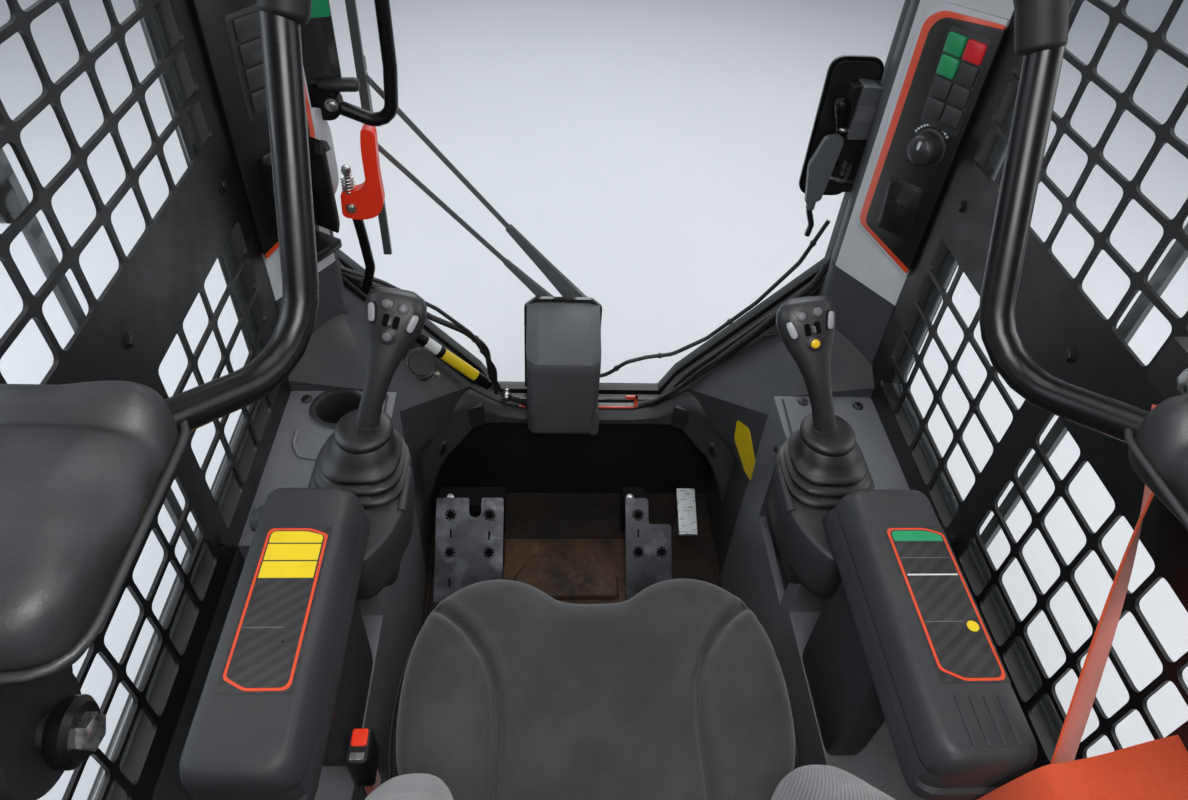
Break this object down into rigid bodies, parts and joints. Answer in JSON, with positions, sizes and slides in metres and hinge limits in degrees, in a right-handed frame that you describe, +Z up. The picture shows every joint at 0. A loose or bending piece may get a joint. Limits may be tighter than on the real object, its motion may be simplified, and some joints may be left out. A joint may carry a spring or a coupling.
{
  "type": "skid steer loader operator cab",
  "caption": "Operator cab with seat, joystick consoles, mesh side screens, raised seat bar and a glass front door with wiper.",
  "frame": {"origin": "bottom centre of the cab's outer box", "axes": "+X the operator's right, +Y forward through the door, +Z up"},
  "size_m": [0.94, 1.38, 1.6],
  "materials": {
    "frame_black": "satin",
    "floor_black": "matt, dusty",
    "trim_grey": "fine grain",
    "trim_dark": "fine grain",
    "cover_grey": "satin",
    "seat_cloth": "twill weave",
    "soft_black": "matt",
    "gloss_black": "gloss",
    "panel_black": "satin",
    "pane": "clear",
    "lamp": "clear lens",
    "steel": "worn",
    "red": "satin",
    "belt_black": "satin",
    "belt_red": "woven webbing"
  },
  "bodies": {
    "cab": {"base_frame": "frame_black", "floor_pan": "floor_black", "side_panels": "frame_black", "quarters": "frame_black", "rear_pillars": "frame_black", "front_pillars": "frame_black", "side_screen_left": "frame_black", "side_screen_right": "frame_black", "side_windows": "pane", "roof": "frame_black", "roof_window": "pane", "header": "frame_black", "rear_wall": "frame_black", "rear_window": "pane", "front_panel": "frame_black", "door_seal": "soft_black", "fascia": "trim_grey", "sloping_trim_left": "trim_grey", "sloping_trim_right": "trim_grey", "pillar_trims": "trim_grey", "keypad_right": "panel_black", "switches_left": "panel_black", "console_left": "trim_grey", "console_right": "trim_grey", "armrest_left": "trim_dark", "armrest_right": "trim_dark", "boots": "soft_black", "joystick_left": "trim_dark", "joystick_right": "trim_dark", "seat_base": "trim_dark", "seat_cushion": "seat_cloth", "seat_back": "seat_cloth", "footrests": "steel", "foot_pedal": "steel", "belt_buckle": "belt_black", "belt_strap": "belt_red", "gas_strut": "steel", "grab_loop": "gloss_black", "release_lever": "red", "lamps": "lamp", "door_hinges": "frame_black", "bar_pivots": "frame_black"},
    "front_door": {"door_frame": "frame_black", "door_glass": "pane", "wiper_cover": "cover_grey", "wiper_arms": "gloss_black", "wiper_blade": "soft_black", "door_latch": "panel_black"},
    "seat_bar": {"bar_tube": "gloss_black", "bar_pads": "soft_black", "bar_arms": "frame_black"}
  },
  "joints": [
    {"name": "door_hinge", "type": "hinge", "parent": "cab", "child": "front_door", "pos_m": [-0.458, 0.646, 0], "axis": [0, 0, 1], "range_deg": [0, 95]},
    {"name": "seat_bar_pivot", "type": "hinge", "parent": "cab", "child": "seat_bar", "pos_m": [0, -0.27, 0.97], "axis": [1, 0, 0], "range_deg": [-60, 0]}
  ]
}
